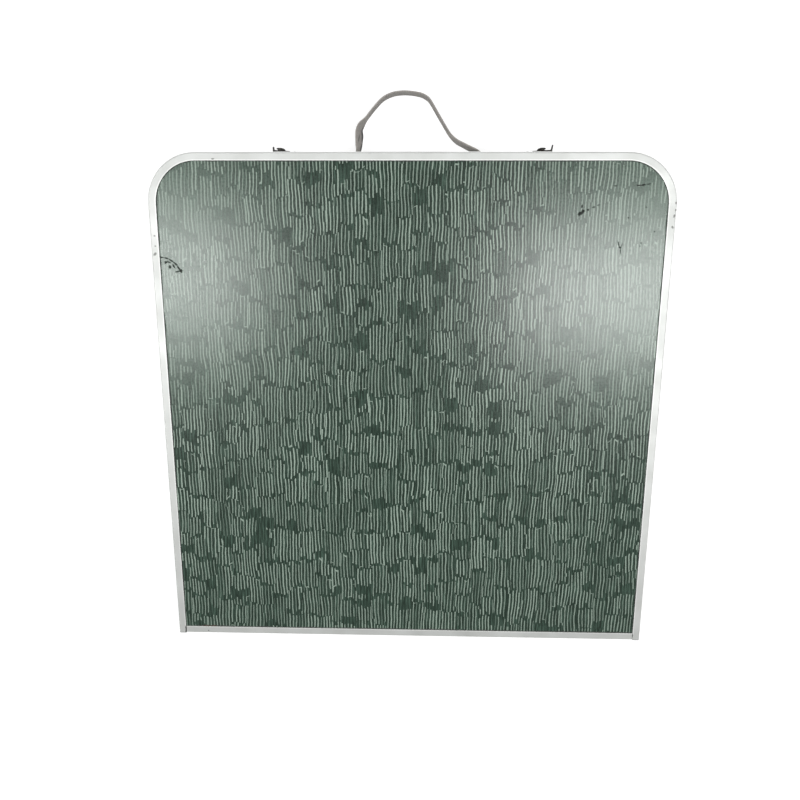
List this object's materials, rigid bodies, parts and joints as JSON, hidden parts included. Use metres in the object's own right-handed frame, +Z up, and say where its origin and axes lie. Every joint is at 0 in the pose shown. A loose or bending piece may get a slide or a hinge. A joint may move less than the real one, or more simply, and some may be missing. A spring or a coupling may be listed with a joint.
{
  "type": "folding card table",
  "caption": "Card table that folds in half into a flat case, with a printed laminate top, aluminium rim, folding telescopic legs, latches and a carrying strap.",
  "frame": {"origin": "middle of the plane that the closed case rests on", "axes": "+X along the hinge, to the right in the picture; +Y from the hinge side towards the handle side; +Z up, out of the pictured laminate face"},
  "size_m": [0.6, 0.6745, 0.064],
  "materials": {
    "printed_laminate": "satin printed melamine",
    "hardboard": "smooth pressed fibre board",
    "rim_aluminium": "satin drawn aluminium",
    "leg_aluminium": "drawn tube",
    "plated_steel": "zinc plated",
    "dark_steel": "blackened with age",
    "black_plastic": "moulded",
    "foot_rubber": "moulded",
    "webbing": "woven strap"
  },
  "bodies": {
    "lower_half": {"lower_laminate": "printed_laminate", "lower_core_board": "hardboard", "lower_edge_rim": "rim_aluminium", "lower_hinge_rail": "rim_aluminium", "lower_hinge_leaf": "rim_aluminium", "hinge_pin": "plated_steel", "lower_hinge_leaf_rivets": "plated_steel", "lower_corner_brackets": "plated_steel", "lower_leg_brackets": "plated_steel", "lower_leg_pivot_pins": "plated_steel", "lower_brace_track_left": "plated_steel", "lower_brace_track_right": "plated_steel", "lower_fitting_screws": "plated_steel", "latch_pivots": "dark_steel", "handle_strap": "webbing", "handle_plates": "plated_steel", "handle_rivets": "plated_steel"},
    "lid": {"upper_laminate": "printed_laminate", "upper_core_board": "hardboard", "upper_edge_rim": "rim_aluminium", "upper_hinge_rail": "rim_aluminium", "upper_hinge_leaf": "rim_aluminium", "upper_hinge_leaf_rivets": "plated_steel", "upper_corner_brackets": "plated_steel", "upper_leg_brackets": "plated_steel", "upper_leg_pivot_pins": "plated_steel", "upper_brace_track_left": "plated_steel", "upper_brace_track_right": "plated_steel", "upper_fitting_screws": "plated_steel", "latch_studs": "dark_steel"},
    "lower_legs": {"lower_leg_tube_left": "leg_aluminium", "lower_leg_tube_right": "leg_aluminium", "lower_leg_stretcher": "leg_aluminium", "lower_brace_pivot_pins": "plated_steel"},
    "lower_leg_ends": {"lower_inner_tube_left": "leg_aluminium", "lower_inner_tube_right": "leg_aluminium", "lower_foot_left": "foot_rubber", "lower_foot_right": "foot_rubber"},
    "lower_brace": {"lower_brace_strut_left": "plated_steel", "lower_brace_strut_right": "plated_steel", "lower_brace_rod": "plated_steel"},
    "lower_collar_left": {"lower_lock_collar_left": "black_plastic"},
    "lower_collar_right": {"lower_lock_collar_right": "black_plastic"},
    "upper_legs": {"upper_leg_tube_left": "leg_aluminium", "upper_leg_tube_right": "leg_aluminium", "upper_leg_stretcher": "leg_aluminium", "upper_brace_pivot_pins": "plated_steel"},
    "upper_leg_ends": {"upper_inner_tube_left": "leg_aluminium", "upper_inner_tube_right": "leg_aluminium", "upper_foot_left": "foot_rubber", "upper_foot_right": "foot_rubber"},
    "upper_brace": {"upper_brace_strut_left": "plated_steel", "upper_brace_strut_right": "plated_steel", "upper_brace_rod": "plated_steel"},
    "upper_collar_left": {"upper_lock_collar_left": "black_plastic"},
    "upper_collar_right": {"upper_lock_collar_right": "black_plastic"},
    "latch_left": {"latch_hook_left": "dark_steel"},
    "latch_right": {"latch_hook_right": "dark_steel"}
  },
  "joints": [
    {"name": "case_fold", "type": "hinge", "parent": "lower_half", "child": "lid", "pos_m": [0, -0.3013, 0.032], "axis": [1, 0, 0], "range_deg": [0, 180]},
    {"name": "lower_leg_fold", "type": "hinge", "parent": "lower_half", "child": "lower_legs", "pos_m": [0, -0.26, 0.0195], "axis": [1, 0, 0], "range_deg": [0, 65]},
    {"name": "lower_leg_extend", "type": "slide", "parent": "lower_legs", "child": "lower_leg_ends", "axis": [0, 1, 0], "range_m": [0, 0.185]},
    {"name": "lower_brace_fold", "type": "hinge", "parent": "lower_legs", "child": "lower_brace", "pos_m": [0, -0.035, 0.0195], "axis": [-1, 0, 0], "range_deg": [0, 130]},
    {"name": "upper_leg_fold", "type": "hinge", "parent": "lid", "child": "upper_legs", "pos_m": [0, -0.26, 0.0445], "axis": [-1, 0, 0], "range_deg": [0, 65]},
    {"name": "upper_leg_extend", "type": "slide", "parent": "upper_legs", "child": "upper_leg_ends", "axis": [0, 1, 0], "range_m": [0, 0.185]},
    {"name": "upper_brace_fold", "type": "hinge", "parent": "upper_legs", "child": "upper_brace", "pos_m": [0, -0.035, 0.0445], "axis": [1, 0, 0], "range_deg": [0, 130]},
    {"name": "lower_collar_twist_left", "type": "hinge", "parent": "lower_legs", "child": "lower_collar_left", "pos_m": [-0.25, -0.26, 0.0195], "axis": [0, 1, 0], "range_deg": [0, 90]},
    {"name": "lower_collar_twist_right", "type": "hinge", "parent": "lower_legs", "child": "lower_collar_right", "pos_m": [0.25, -0.26, 0.0195], "axis": [0, 1, 0], "range_deg": [0, 90]},
    {"name": "upper_collar_twist_left", "type": "hinge", "parent": "upper_legs", "child": "upper_collar_left", "pos_m": [-0.25, -0.26, 0.0445], "axis": [0, 1, 0], "range_deg": [0, 90]},
    {"name": "upper_collar_twist_right", "type": "hinge", "parent": "upper_legs", "child": "upper_collar_right", "pos_m": [0.25, -0.26, 0.0445], "axis": [0, 1, 0], "range_deg": [0, 90]},
    {"name": "latch_turn_left", "type": "hinge", "parent": "lower_half", "child": "latch_left", "pos_m": [-0.151, 0.303, 0.026], "axis": [0, -1, 0], "range_deg": [0, 125]},
    {"name": "latch_turn_right", "type": "hinge", "parent": "lower_half", "child": "latch_right", "pos_m": [0.151, 0.303, 0.026], "axis": [0, 1, 0], "range_deg": [0, 125]}
  ],
  "couplings": [
    {"joint": "lower_leg_fold", "follows": "case_fold", "ratio": 0.36111},
    {"joint": "lower_leg_extend", "follows": "case_fold", "m_per_rad": 0.058887},
    {"joint": "lower_brace_fold", "follows": "case_fold", "ratio": 0.72222},
    {"joint": "upper_leg_fold", "follows": "case_fold", "ratio": 0.36111},
    {"joint": "upper_leg_extend", "follows": "case_fold", "m_per_rad": 0.058887},
    {"joint": "upper_brace_fold", "follows": "case_fold", "ratio": 0.72222}
  ]
}
